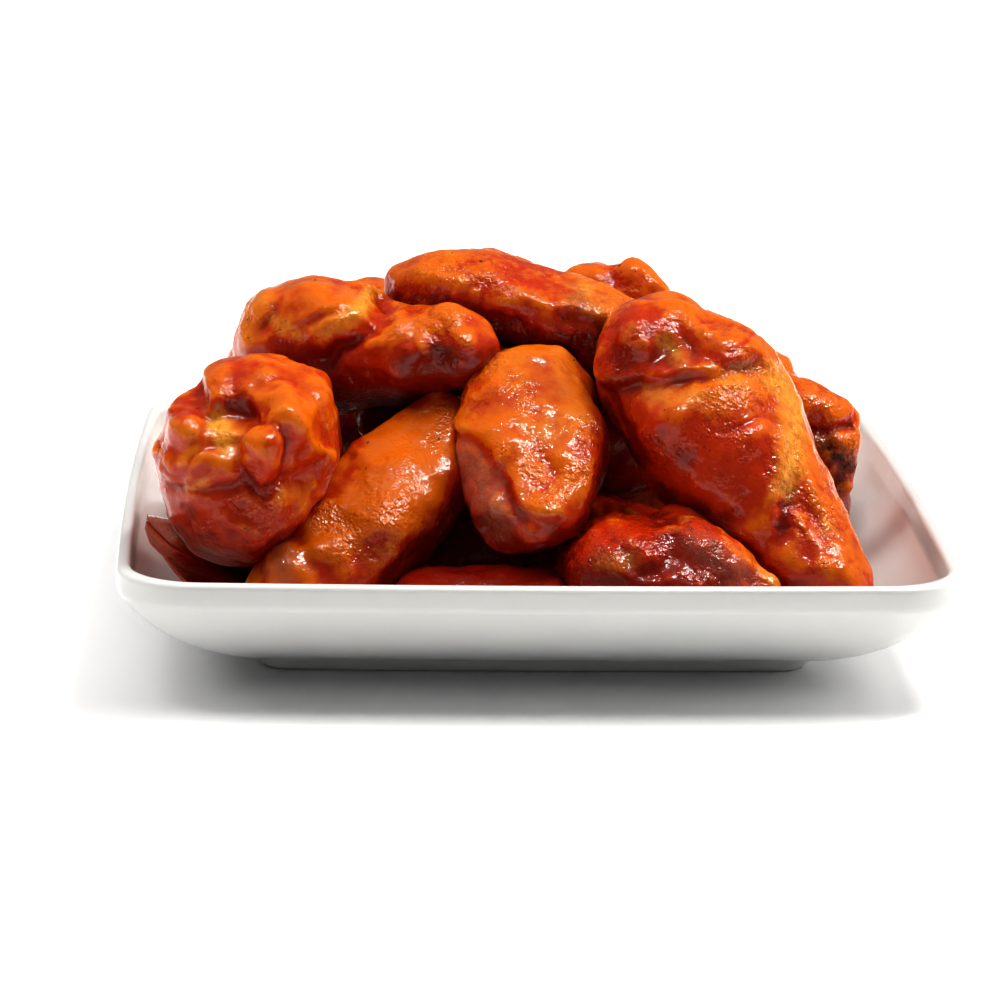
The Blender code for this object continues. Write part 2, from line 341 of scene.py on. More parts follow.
def make_wing_material():
    """Browned skin under glossy sauce, orange where the sauce attribute is low and deep red where it is
    high. That attribute is partly real sauce and partly painted shade: in the hollows, underneath and
    between wings.
    """
    n = Nodes("sauced_skin")
    fine = n.noise(1.6 * MM, 3, 0.6)
    uneven = n.math("ADD", n.swing(n.noise(6 * MM, 3, 0.6), 0.40), n.swing(fine, 0.24))
    depth = n.math("ADD", n.attribute("sauce"), uneven)
    colour = n.mix(n.ramp(depth, 0.02, 0.46), THIN_SAUCE, FULL_SAUCE)
    colour = n.mix(n.ramp(depth, 0.55, 1.05), colour, THICK_SAUCE_AND_SHADE)
    pale = n.math("MULTIPLY", n.attribute("pale"), n.ramp(fine, 0.30, 0.62, 0.35, 1.0))
    colour = n.mix(pale, colour, PALE_FAT)
    flesh = n.math("MULTIPLY", n.attribute("flesh"), n.ramp(fine, 0.25, 0.6, 0.4, 1.0))
    colour = n.mix(flesh, colour, FLESH)
    browned = n.math("MULTIPLY", n.attribute("browned"), n.ramp(fine, 0.30, 0.60, 0.25, 1.0))
    colour = n.mix(browned, colour, BROWNED)
    flecks = n.noise(0.9 * MM, 1)
    colour = n.mix(n.ramp(flecks, 0.70, 0.78, 0.0, 0.55), colour, FLECKS)
    grain = n.ramp(n.attribute("grain"), 0.0, 1.0, 0.18, 1.0)
    ripple = n.swing(n.noise(1.25 * MM, 1), grain)
    crumb = n.swing(n.noise(0.7 * MM, 1), grain)
    fine_ripple = n.math("ADD", ripple, n.math("MULTIPLY", crumb, 0.4))
    sheen_normal = n.bump(n.math("ADD", fine_ripple, n.noise(4.0 * MM)), 0.7 * MM, 0.7)
    normal = n.bump(n.math("ADD", ripple, n.math("MULTIPLY", crumb, 0.45)), 0.8 * MM, 0.8)
    return n.set(
        Base_Color=colour,
        Roughness=n.ramp(browned, 0.0, 1.0, 0.34, 0.55),
        Normal=normal,
        Coat_Normal=sheen_normal,
        Coat_Weight=0.8,
        Coat_Roughness=0.09,
        Coat_IOR=1.45,
        Subsurface_Weight=0.22,
        Subsurface_Radius=(1.0, 0.22, 0.06),
        Subsurface_Scale=2.5 * MM,
        Specular_IOR_Level=0.12,
    )


def make_sauce_material():
    """Sauce in the plate: brown where it is thin, nearly black where it is deep."""
    n = Nodes("sauce")
    depth = n.math("ADD", n.attribute("depth"), n.swing(n.noise(4 * MM), 0.3))
    colour = n.mix(n.ramp(depth, 0.05, 0.45), SMEARED_SAUCE, POOLED_SAUCE)
    colour = n.mix(n.ramp(depth, 0.5, 1.0), colour, DEEP_SAUCE)
    normal = n.bump(n.noise(5 * MM), 0.4 * MM, 0.5)
    return n.set(Base_Color=colour, Roughness=0.16, Normal=normal, Coat_Normal=normal, Coat_Weight=1.0,
                 Coat_Roughness=0.05, Subsurface_Weight=0.1, Subsurface_Radius=(1.0, 0.2, 0.05),
                 Subsurface_Scale=1.5 * MM)


def make_glaze_material():
    """White glaze: barely uneven in tone and in level, as fired porcelain is."""
    n = Nodes("porcelain_glaze")
    colour = n.mix(n.noise(38 * MM, 3), (0.70, 0.705, 0.69), (0.74, 0.745, 0.73))
    specks = n.ramp(n.noise(0.5 * MM, 1), 0.79, 0.84, 0.0, 0.25)
    colour = n.mix(specks, colour, (0.62, 0.58, 0.52))
    normal = n.bump(n.noise(22 * MM), 1.2 * MM, 0.25)
    return n.set(Base_Color=colour, Roughness=0.28, Normal=normal, Coat_Normal=normal, Coat_Weight=0.5,
                 Coat_Roughness=0.07, Subsurface_Weight=0.35, Subsurface_Radius=(1.0, 0.95, 0.9),
                 Subsurface_Scale=4.0 * MM)


def make_pepper_material():
    n = Nodes("ground_pepper")
    colour = n.mix(n.noise(0.3 * MM), (0.035, 0.014, 0.006), (0.15, 0.065, 0.025))
    return n.set(Base_Color=colour, Roughness=0.6, Coat_Weight=0.15, Coat_Roughness=0.25)


# ---------------------------------------------------------------- wings

# What marks each wing out. Places are shares of the wing's box seen from the front: across from its left,
# and up from its base. Lengths are in millimetres.
# pulls: (place, reach, (right, up)), a stretch of the wing that is moved.
# flats: (direction, depth), where the wing is pressed flat.
# bumps: (place, reach, height), and a negative height is a hollow.
# knobs: (place, reach, height), bumps with a blunt top and a groove round them.
# folds: (places along it, reach, height), a ridge or a groove.
# laps: (places along it, reach, height), skin that ends in an edge, raised on the left of the line.
# calm, sauce, pale, flesh, browned and grain: (places along it, reach, strength), where the wing is painted
# with it. Calm keeps the random folds away, and grain makes the skin rough. Sauce deepens the colour to red;
# much of it is painted shade on parts that lie in shade, and a negative sauce lightens a shaded part as
# painted light.
MARKS = {}
MARKS["drumette_left"] = {
    "pulls": (
        ((0.1, 0.92), 15, (4, -3)), ((0, 0.62), 10, (1.5, 0)), ((0.66, 1), 11, (0, -2)),
        ((1, 0.72), 12, (-2.5, 0)), ((0, 0.3), 10, (1.8, 0)),
    ),
    "bumps": (
        ((0.57, 0.56), 4.6, 2), ((0.63, 0.78), 2, -1.6), ((0.8, 0.86), 8, 1.6), ((0.2, 0.53), 6, 1.6),
        ((0.06, 0.53), 2.6, 1.8), ((0.36, 0.68), 3.6, -2.4), ((0.46, 0.37), 4.6, -2), ((0.3, 0.9), 5, 1),
        ((0.36, 0.22), 8, 1.2),
    ),
    "knobs": (((0.17, 0.72), 3.8, 2.4), ((0.58, 0.67), 5, 2.6)),
    "folds": (
        (((0.22, 0.83), (0.32, 0.775), (0.44, 0.79), (0.55, 0.8)), 1.9, -2.6),
        (((0.49, 0.8), (0.455, 0.68), (0.46, 0.56), (0.5, 0.47)), 1.8, -2.4),
        (((0.47, 0.48), (0.58, 0.45), (0.71, 0.49)), 2.2, -2),
        (((0.69, 0.72), (0.7, 0.6), (0.68, 0.52)), 1.8, -1.6),
        (((0.66, 0.82), (0.74, 0.74), (0.79, 0.62), (0.88, 0.55)), 2.4, 2.4),
        (((0.17, 0.43), (0.3, 0.46), (0.42, 0.45)), 1.3, -1.5),
        (((0.42, 0.32), (0.58, 0.26), (0.74, 0.32), (0.81, 0.42)), 2.2, 1.5),
    ),
    # The sauce here darkens the hollows and creases round the knobs and the lower part: painted shade, with
    # some sauce that pools there.
    "sauce": (
        (((0.55, 0.47),), 5.5, 0.5), (((0.36, 0.8), (0.52, 0.79)), 2.6, 0.6), (((0.62, 0.7),), 3.6, 0.4),
        (((0.3, 0.95), (0.6, 0.95), (0.8, 0.9)), 8, 0.12), (((0.4, 0.14), (0.7, 0.18)), 9, 0.3),
        (((0.15, 0.73), (0.2, 0.78)), 4, 0.35),
    ),
    "pale": ((((0.36, 0.72), (0.4, 0.65)), 3.6, 1), (((0.22, 0.44), (0.3, 0.49)), 1.2, 0.5)),
    "grain": (
        (((0.5, 0.52), (0.62, 0.46)), 4, 0.9), (((0.8, 0.6), (0.86, 0.52)), 4, 0.8),
        (((0.36, 0.7),), 4, 0.8),
    ),
}
MARKS["flat_centre"] = {
    "pulls": (
        ((0.92, 0.98), 11, (-2.5, -4.5)), ((0.1, 0.93), 8, (-3.4, 1.6)), ((0.3, 0.02), 10, (-4.5, -0.5)),
        ((0.95, 0.1), 9, (-2, 1)), ((1, 0.55), 9, (-3.5, 0)),
    ),
    "flats": (((-0.66, -0.72, -0.2), 5.4), ((0.92, -0.3, -0.12), 3.2), ((0.05, -0.55, 0.83), 2)),
    "bumps": (
        ((0.22, 0.26), 3.4, 1.2), ((0.17, 0.12), 2.8, -1.8), ((0.44, 0.12), 3.6, 1),
        ((0.59, 0.67), 2.2, -0.7), ((0.55, 0.47), 2.2, -0.7), ((0.34, 0.58), 5, 1.4),
        ((0.17, 0.36), 5, -1.6),
    ),
    "knobs": (((0.25, 0.25), 2.8, 0.9),),
    "laps": ((((0, 0.57), (0.14, 0.56), (0.22, 0.52), (0.29, 0.39), (0.36, 0.26), (0.5, 0.22)), 4, 1.8),),
    "calm": ((((0.1, 0.7), (0.9, 0.7)), 30, 1), (((0.1, 0.3), (0.9, 0.3)), 30, 1)),
    # The sauce down the right side is painted shade, where the wing on the right shades it.
    "sauce": (
        (((0.3, 0.38), (0.34, 0.27), (0.37, 0.22)), 1.5, 0.9), (((0.1, 0.05), (0.6, 0.06)), 6, 0.45),
        (((0.14, 0.14), (0.26, 0.08)), 2.2, 0.6), (((1, 0.78), (1, 0.4), (0.86, 0.1)), 6.5, 1),
    ),
    "pale": (
        (((0.23, 0.3), (0.21, 0.21)), 1.7, 0.4), (((0.35, 0.9), (0.62, 0.86), (0.78, 0.76)), 5, 0.28),
        (((0.5, 0.62), (0.66, 0.66)), 5, 0.2),
    ),
    "flesh": ((((0.04, 0.46), (0.13, 0.4), (0.17, 0.28), (0.24, 0.18)), 5.4, 1),),
    "grain": (
        (((0.74, 0.62), (0.76, 0.45), (0.52, 0.36), (0.44, 0.5)), 4.2, 1.1),
        (((0.15, 0.85), (0.12, 0.72)), 3, 0.8), (((0.12, 0.46), (0.22, 0.22)), 4, 0.7),
    ),
}
MARKS["flat_front_left"] = {
    "flats": (((0.7, -0.52, -0.3), 2.6), ((-0.12, -0.5, 0.86), 2.6), ((0.2, -0.7, 0.68), 1.8)),
    "bumps": (((0.34, 0.34), 5, -1.8), ((0.62, 0.8), 6, 1.2), ((0.5, 0.48), 4, -0.5), ((0.58, 0.64), 6, 1)),
    "knobs": (((0.17, 0.4), 4.4, 2.2),),
    "folds": (
        (((0.28, 0.45), (0.42, 0.48), (0.56, 0.54)), 1.8, 1),
        (((0.44, 0.8), (0.56, 0.74), (0.66, 0.77)), 1.3, 0.7),
    ),
    "calm": ((((0.86, 0.96), (0.22, 0.34)), 30, 1),),
    # The sauce here is painted light and shade: a negative sauce lightens the top, which the wings above
    # shade, and the right side is darkened as painted shade.
    "sauce": (
        (((0.3, 0.36), (0.46, 0.46)), 7, 0.12), (((0.86, 0.96), (0.6, 0.72), (0.4, 0.52)), 9, -0.45),
        (((0.96, 0.9), (0.88, 0.62), (0.8, 0.36)), 4.2, 0.7),
    ),
    "flesh": ((((0.16, 0.44), (0.18, 0.34)), 3.4, 0.6),),
    "grain": (
        (((0.54, 0.66), (0.63, 0.6), (0.64, 0.7)), 5, 1.1), (((0.34, 0.42), (0.44, 0.42)), 2.6, 1),
        (((0.8, 0.94), (0.76, 0.84)), 3, 1),
    ),
}
MARKS["drumette_upper_left"] = {
    "pulls": (((0.02, 0.6), 8, (1, 0)), ((0.66, 0.95), 11, (0, -3))),
    "bumps": (
        ((0.61, 0.75), 2.4, 1.4), ((0.7, 0.66), 2.8, 1.7), ((0.86, 0.72), 2, 1.3), ((0.8, 0.88), 4, 1.3),
        ((0.07, 0.55), 6, 1.6), ((0.3, 0.93), 6, 1.2), ((0.77, 0.6), 3, -1.4),
    ),
    "folds": (
        (((0.34, 0.5), (0.41, 0.63), (0.5, 0.78), (0.57, 0.9)), 2.4, -3.2),
        (((0.3, 0.7), (0.42, 0.82), (0.52, 0.93)), 1.1, 1),
        (((0.23, 0.74), (0.36, 0.88), (0.46, 0.98)), 1.1, 0.9),
        (((0.35, 0.66), (0.46, 0.78), (0.55, 0.88)), 0.9, 0.7),
        (((0.17, 0.88), (0.13, 0.78), (0.09, 0.68)), 2.2, -0.8),
    ),
    # Most of this sauce is painted shade, on the right lobe and the lower part, which lie in shade.
    "sauce": (
        (((0.66, 0.58), (0.78, 0.62), (0.94, 0.58)), 5.5, 0.5),
        (((0.45, 0.34), (0.7, 0.36), (0.96, 0.4)), 8, 0.6), (((0.4, 0.56), (0.46, 0.68)), 3.6, 0.4),
        (((0.16, 0.82), (0.11, 0.7)), 1.4, 0.6),
    ),
    "pale": (
        (((0.33, 0.72), (0.43, 0.83), (0.54, 0.94)), 2.8, 0.75), (((0.16, 0.76), (0.24, 0.68)), 2.4, 0.7),
        (((0.05, 0.6), (0.1, 0.86)), 4, 0.3),
    ),
    "browned": ((((0.76, 0.64), (0.8, 0.6)), 2.6, 0.45),),
    "grain": ((((0.56, 0.8), (0.78, 0.84)), 4, 1), (((0.74, 0.62), (0.8, 0.6)), 3, 0.8)),
}
MARKS["flat_top"] = {
    "pulls": (((0.02, 0.8), 9, (1.5, -3.5)), ((0.12, 0.4), 9, (-1, -2.5))),
    "flats": (((0.08, -0.84, -0.42), 2.6), ((0.25, -0.28, 0.93), 1.8)),
    "bumps": (
        ((0.02, 0.83), 3, 1.3), ((0.34, 0.64), 3, -1.2), ((0.5, 0.62), 4, 1.2), ((0.2, 0.66), 4, 1),
        ((0.8, 0.62), 4.5, 1.2), ((0.66, 0.52), 3, -1.2),
    ),
    "folds": (
        (((0.03, 0.84), (0.17, 0.86), (0.26, 0.79), (0.35, 0.72), (0.46, 0.75), (0.56, 0.72),
          (0.68, 0.65)), 2.6, 1.2),
        (((0.58, 0.66), (0.64, 0.58), (0.72, 0.54)), 1, -1),
        (((0.52, 0.68), (0.58, 0.6), (0.6, 0.5)), 1, -0.8),
    ),
    # This sauce darkens the lower face under the top edge, as painted shade.
    "sauce": ((((0.04, 0.66), (0.4, 0.52), (0.7, 0.42)), 7, 0.3),),
    "pale": ((((0.6, 0.78), (0.66, 0.62)), 3.8, 0.45),),
    "browned": (
        (((0.58, 0.74), (0.66, 0.56)), 3.2, 0.4), (((0.04, 0.66), (0.4, 0.54), (0.74, 0.42)), 7, 0.25),
    ),
    "grain": (
        (((0.18, 0.95), (0.5, 0.86), (0.78, 0.66)), 6, 0.8),
        (((0.1, 0.62), (0.45, 0.5), (0.75, 0.4)), 7, 1.2),
    ),
}
MARKS["flat_top_back"] = {
    "pulls": (((0.72, 0.8), 12, (-1.5, -4)),),
    "bumps": (((0.36, 1), 3, 2.6), ((0.28, 0.9), 3.2, -1.6), ((0.6, 0.8), 4, 0.8)),
    "folds": ((((0.42, 0.98), (0.56, 0.8), (0.66, 0.62)), 1.6, 1),),
    "grain": ((((0.26, 0.92), (0.34, 0.86)), 3.2, 1), (((0.7, 0.7), (0.95, 0.4)), 4, 1)),
}
MARKS["drumette_right"] = {
    "flats": (((-0.2, -0.95, -0.22), 5), ((0.62, -0.52, 0.58), 3)),
    "bumps": (
        ((0.3, 0.97), 5, 1.4), ((0.22, 0.7), 7, 1.4), ((0.84, 0.27), 5, 1), ((0.25, 0.87), 3.4, -1.6),
        ((0.5, 0.6), 9, 0.8), ((0.46, 0.78), 5, 1),
    ),
    "knobs": (((0.145, 0.9), 4.6, 2.4),),
    "folds": (
        (((0.32, 0.93), (0.44, 0.9), (0.55, 0.875), (0.63, 0.83)), 1.8, 1.3),
        (((0.31, 0.9), (0.36, 0.86), (0.42, 0.84)), 1.4, -1.2), (((0.05, 0.72), (0.08, 0.6)), 1.8, -1.2),
        (((0.16, 0.62), (0.26, 0.69), (0.36, 0.78)), 1.8, 0.8),
        (((0.6, 0.4), (0.63, 0.52), (0.65, 0.68)), 1.8, 1),
        (((0.67, 0.48), (0.655, 0.41), (0.62, 0.33)), 2.2, -1.3),
        (((0.72, 0.44), (0.8, 0.34), (0.86, 0.2)), 1.8, -1),
    ),
    "laps": ((((0.03, 0.755), (0.14, 0.785), (0.26, 0.805), (0.38, 0.82), (0.5, 0.83)), 6, 2),),
    # This sauce darkens the hollows, the groove under the lap, the knob and the front plane, partly as
    # painted shade.
    "sauce": (
        (((0.67, 0.46), (0.64, 0.36)), 2.6, 0.5), (((0.06, 0.84), (0.16, 0.94), (0.26, 0.86)), 7, 0.5),
        (((0.08, 0.7), (0.3, 0.62), (0.5, 0.5)), 12, 0.2), (((0.42, 0.865), (0.54, 0.825)), 2, 0.5),
        (((0.4, 0.3), (0.6, 0.2)), 8, 0.3),
    ),
    "pale": (
        (((0.24, 0.9), (0.29, 0.86)), 2.8, 0.5),
        (((0.66, 0.78), (0.71, 0.68), (0.68, 0.56), (0.66, 0.5)), 4.2, 0.85), (((0.81, 0.38),), 2.2, 0.5),
        (((0.18, 0.745), (0.34, 0.755)), 2.4, 0.45), (((0.46, 0.8), (0.6, 0.82)), 3.6, 0.35),
    ),
    "grain": (
        (((0.68, 0.8), (0.7, 0.6), (0.66, 0.48)), 3.6, 1), (((0.5, 0.88), (0.6, 0.8)), 3.5, 0.9),
        (((0.46, 0.77), (0.6, 0.74)), 4, 1.1), (((0.12, 0.92), (0.3, 0.98)), 3.5, 0.8),
    ),
}
MARKS["flat_charred_right"] = {
    "flats": (((0.98, -0.15, -0.1), 3.4), ((0.35, -0.93, 0.05), 2.4), ((0.3, -0.1, 0.95), 2)),
    "bumps": (((0.74, 0.76), 4.6, 1.4), ((0.84, 0.36), 5, 2.2), ((0.86, 0.1), 2.4, 1.6)),
    "folds": (
        (((0.62, 0.56), (0.76, 0.53), (0.92, 0.58)), 1.4, -2.8),
        (((0.8, 0.46), (0.84, 0.3), (0.82, 0.16)), 1.1, -1),
    ),
    "browned": ((((0.8, 0.42), (0.88, 0.28)), 4, 1), (((0.76, 0.22), (0.84, 0.12)), 2.6, 0.8)),
    "grain": ((((0.75, 0.7), (0.85, 0.3)), 7, 0.8),),
}
MARKS["flat_low_right"] = {
    "pulls": (((0.55, 0.98), 10, (0, 2.5)),),
    "bumps": (((0.22, 0.86), 6, 1.4), ((0.46, 0.84), 4, -1.4), ((0.1, 0.7), 4, 0.8)),
    "folds": (
        (((0.48, 1.02), (0.62, 0.93), (0.76, 0.8), (0.9, 0.6)), 2.5, 2.2),
        (((0.2, 0.95), (0.3, 0.8), (0.4, 0.72)), 1.6, -1),
    ),
    # The broad band across the left part is painted shade, where the wing lies under its neighbours.
    "sauce": (
        (((0.52, 0.92), (0.64, 0.8), (0.76, 0.66)), 4, 0.4),
        (((0.05, 0.7), (0.25, 0.7), (0.5, 0.7)), 14, 0.75),
    ),
    "pale": ((((0.86, 0.7), (0.92, 0.5)), 2.5, 0.3), (((0.17, 0.78), (0.3, 0.8)), 2.4, 0.3)),
    "flesh": ((((0.56, 0.92), (0.66, 0.8), (0.76, 0.66)), 4, 0.6),),
    "browned": ((((0.6, 0.88), (0.68, 0.8), (0.76, 0.68)), 3, 0.25),),
    "grain": ((((0.08, 0.85), (0.3, 0.95), (0.42, 0.9)), 3.6, 1.1),),
}
# This wing lies deep in the heap: painted shade darkens all of it, and its grain is taken away.
MARKS["drumette_middle"] = {
    "sauce": ((((0, 0.5), (1, 0.5)), 30, 1.2),),
    "grain": ((((0, 0.5), (1, 0.5)), 30, -1),),
}
# This wing lies low under the others: it is pulled down, and painted shade darkens all of it, with its grain
# taken away.
MARKS["flat_low_centre"] = {
    "pulls": (((0.5, 1), 24, (0, -5)),),
    "sauce": ((((0.1, 0.6), (0.9, 0.6)), 18, 1.3),),
    "grain": ((((0, 0.6), (1, 0.6)), 20, -1),),
}


def marks(name, kind):
    return MARKS.get(name, {}).get(kind, ())


def facing_front(skin):
    """1 where the skin faces the viewer's side, 0 behind."""
    return ramp(-skin.normals[:, 1] + 0.35 * skin.normals[:, 2], -0.05, 0.35)


def line_distance(across, up, line):
    """How far each point is from a line of joined places in the front view, and how far to its left."""
    nearest = np.full(len(across), np.inf)
    side = np.zeros(len(across))
    for (x0, z0), (x1, z1) in zip(line, line[1:]):
        run = np.array([x1 - x0, z1 - z0])
        length = max(np.hypot(*run), 1e-9)
        share = np.clip(((across - x0) * run[0] + (up - z0) * run[1]) / length**2, 0, 1)
        away = np.hypot(across - x0 - share * run[0], up - z0 - share * run[1])
        left = (run[0] * (up - z0) - run[1] * (across - x0)) / length
        closer = away < nearest
        nearest = np.where(closer, away, nearest)
        side = np.where(closer, left, side)
    return nearest, side


def front_place(name, place):
    low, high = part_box(name)
    return low.x + place[0] * (high.x - low.x), low.z + place[1] * (high.z - low.z)


def front_line(name, places):
    return [front_place(name, place) for place in places]


def bump_form(away):
    return np.exp(-(away**2))


def knob_form(away):
    """A blunt top, with a groove round it."""
    return np.exp(-(away**3)) - 0.2 * np.exp(-(((away - 1.4) / 0.4) ** 2))


def shape_marks(name, skin):
    """The height that a wing's own bumps, knobs, folds and laps add."""
    heights = np.zeros(len(skin.points))
    across = skin.points[:, 0] + 1.3 * MM * layered(skin.points, 7 * MM, 2, 81)
    up = skin.points[:, 2] + 1.3 * MM * layered(skin.points, 7 * MM, 2, 82)
    for kind, form in (("bumps", bump_form), ("knobs", knob_form)):
        for place, reach, height in marks(name, kind):
            x, z = front_place(name, place)
            heights += height * MM * form(np.hypot(across - x, up - z) / (reach * MM))
    for places, reach, height in marks(name, "folds"):
        away = line_distance(across, up, front_line(name, places))[0]
        heights += height * MM * bump_form(away / (reach * MM))
    for places, reach, height in marks(name, "laps"):
        away, side = line_distance(across, up, front_line(name, places))
        raised = np.exp(-np.maximum(side, 0) / (reach * MM)) * ramp(side, -1.0 * MM, 1.2 * MM)
        groove = np.exp(-((side + 1.2 * MM) / (1.5 * MM)) ** 2)
        ends = np.exp(-((away - abs(side)) / (3.5 * MM)) ** 2)
        heights += height * MM * (raised - 0.45 * groove) * ends
    return heights * facing_front(skin)


def pull_marks(name, skin):
    """Moves whole stretches of a wing across and up, to correct its outline."""
    across, up = skin.points[:, 0].copy(), skin.points[:, 2].copy()
    for place, reach, (right, rise) in marks(name, "pulls"):
        x, z = front_place(name, place)
        share = np.exp(-(((across - x) ** 2 + (up - z) ** 2) / (reach * MM) ** 2))
        skin.points[:, 0] += right * MM * share
        skin.points[:, 2] += rise * MM * share
    skin.refresh()


def paint_marks(name, skin, attribute):
    """How strongly a wing's own paint lays an attribute on each point, with ragged edges."""
    painted = np.zeros(len(skin.points))
    across, up = skin.points[:, 0], skin.points[:, 2]
    for places, reach, strength in marks(name, attribute):
        line = front_line(name, places)
        line = line if len(line) > 1 else line * 2
        away = line_distance(across, up, line)[0] / (reach * MM)
        ragged = 1 + 0.4 * layered(skin.points, 5 * MM, 3, 71)
        painted += strength * ramp(-away * ragged, -1.35, -0.05)
    return painted * facing_front(skin)


def press_flats(name, skin):
    """Flattens the wing where it faces each direction, with a soft edge round the flat."""
    for direction, depth in marks(name, "flats"):
        toward = np.array(direction) / np.linalg.norm(direction)
        reach = skin.points @ toward
        over = np.maximum(reach - (reach.max() - depth * MM), 0)
        kept = FLAT_EASE * (1 - np.exp(-over / FLAT_EASE))
        skin.points = skin.points - np.outer(over - kept, toward)
    skin.refresh()


def crowding(skin, others):
    """How much of what each point faces is close to other wings or the plate, from 0 to 1."""
    chosen = np.arange(0, len(skin.points), CROWD_EVERY)
    share = np.zeros(len(chosen))
    for row, index in enumerate(chosen):
        normal = Vector(skin.normals[index])
        start = Vector(skin.points[index]) + normal * 1.5 * MM
        for ray in CROWD_RAYS:
            toward = (normal + ray).normalized()
            distance = others.ray_cast(start, toward, CROWD_REACH)[3]
            if distance is not None:
                share[row] += 1 - distance / CROWD_REACH
    share /= len(CROWD_RAYS)

    # The points between the chosen ones take the mean of those round them.
    known = np.zeros(len(skin.points))
    weight = np.zeros(len(skin.points))
    known[chosen] = share
    weight[chosen] = 1
    return skin.blurred(known, CROWD_ROUNDS) / np.maximum(skin.blurred(weight, CROWD_ROUNDS), 1e-9)


def scene_tree():
    """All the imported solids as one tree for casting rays."""
    points, faces = [], []
    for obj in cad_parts.values():
        first = len(points)
        points.extend(vert.co.copy() for vert in obj.data.vertices)
        faces.extend([first + index for index in face.vertices] for face in obj.data.polygons)
    return BVHTree.FromPolygons(points, faces)


def long_axis(points):
    centred = points - points.mean(axis=0)
    return np.linalg.svd(centred[::7], full_matrices=False)[2][0]


# The random relief that every wing gets: the width of its swells, and their height or depth.
LUMP_REACH, LUMP_HEIGHT = 15 * MM, 1.25 * MM
SMALL_LUMP_REACH, SMALL_LUMP_HEIGHT = 4.2 * MM, 0.34 * MM
VALLEY_REACH, VALLEY_DEPTH = 15 * MM, 0.7 * MM
WRINKLE_REACH, WRINKLE_DEPTH = 5.5 * MM, 0.26 * MM
PORE_REACH, PORE_HEIGHT = 2.1 * MM, 0.20 * MM
GRAIN_REACH, GRAIN_HEIGHT = 2.3 * MM, 0.22 * MM
FLOW_REACH, FLOW_HEIGHT = 5.5 * MM, 0.22 * MM

# Rounds of smoothing that a hollow is measured against, and the depth of a full one.
FINE_HOLLOW = (6, 0.10 * MM)
BROAD_HOLLOW = (45, 0.9 * MM)

# Rounds of smoothing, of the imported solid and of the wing's own marks, and the lift that makes up for it.
FRONT_ROUNDS = 50
BACK_ROUNDS = 36
MARK_ROUNDS = 5
SKIN_LIFT = 0.5 * MM


def lump(name, skin, seed):
    """Lumps of the muscle, then the wing's own marks, then small lumps in patches."""
    points = skin.points.copy()
    skin.move(LUMP_HEIGHT * layered(points, LUMP_REACH, 2, seed))
    pull_marks(name, skin)
    press_flats(name, skin)
    skin.move(shape_marks(name, skin))
    skin.smooth(MARK_ROUNDS)
    patches = ramp(waves(points, 12 * MM, seed + 3), -0.5, 0.6)
    skin.move(SMALL_LUMP_HEIGHT * waves(points, SMALL_LUMP_REACH, seed + 2) * patches)


def fold(name, skin, seed):
    """A few valleys between rounded swells, stretched across the wing, and wrinkles, only in patches."""
    points = skin.points.copy()
    axis = long_axis(points)
    squeezed = points + np.outer(points @ axis, axis) * 0.7
    bends = [waves(points, 9 * MM, seed + k) for k in (21, 22, 23)]
    bent = squeezed + 2.6 * MM * np.stack(bends, axis=1)
    calm = np.clip(paint_marks(name, skin, "calm"), 0, 1)
    folded = ramp(waves(points, 22 * MM, seed + 5), 0.0, 0.55) * (1 - calm)
    valleys = (1 - np.abs(waves(bent, VALLEY_REACH, seed + 7))) ** 9
    skin.move(-VALLEY_DEPTH * valleys * (0.15 * (1 - calm) + 0.85 * folded))
    small = ramp(waves(points, 14 * MM, seed + 6), 0.15, 0.6)
    wrinkles = (1 - np.abs(waves(bent, WRINKLE_REACH, seed + 9))) ** 6
    skin.move(-WRINKLE_DEPTH * wrinkles * small * (1 - calm))


def roughen(name, skin, seed):
    """Pores and grain where the skin is rough, a smooth flow of sauce elsewhere. Returns the roughness."""
    points = skin.points.copy()
    rough = ramp(waves(points, 17 * MM, seed + 31) + 0.35 * waves(points, 5 * MM, seed + 32), 0.0, 0.5)
    rough = np.clip(rough + 0.7 * paint_marks(name, skin, "grain"), 0, 1)
    pores = 1 - ramp(spots(points, PORE_REACH, seed), 0.10, 0.50)
    skin.move(PORE_HEIGHT * pores * (0.15 + 0.85 * rough))
    skin.move(GRAIN_HEIGHT * waves(points, GRAIN_REACH, seed + 35) * (0.22 + 0.78 * rough))
    skin.move(FLOW_HEIGHT * waves(points, FLOW_REACH, seed + 36))
    skin.smooth(1)
    return rough


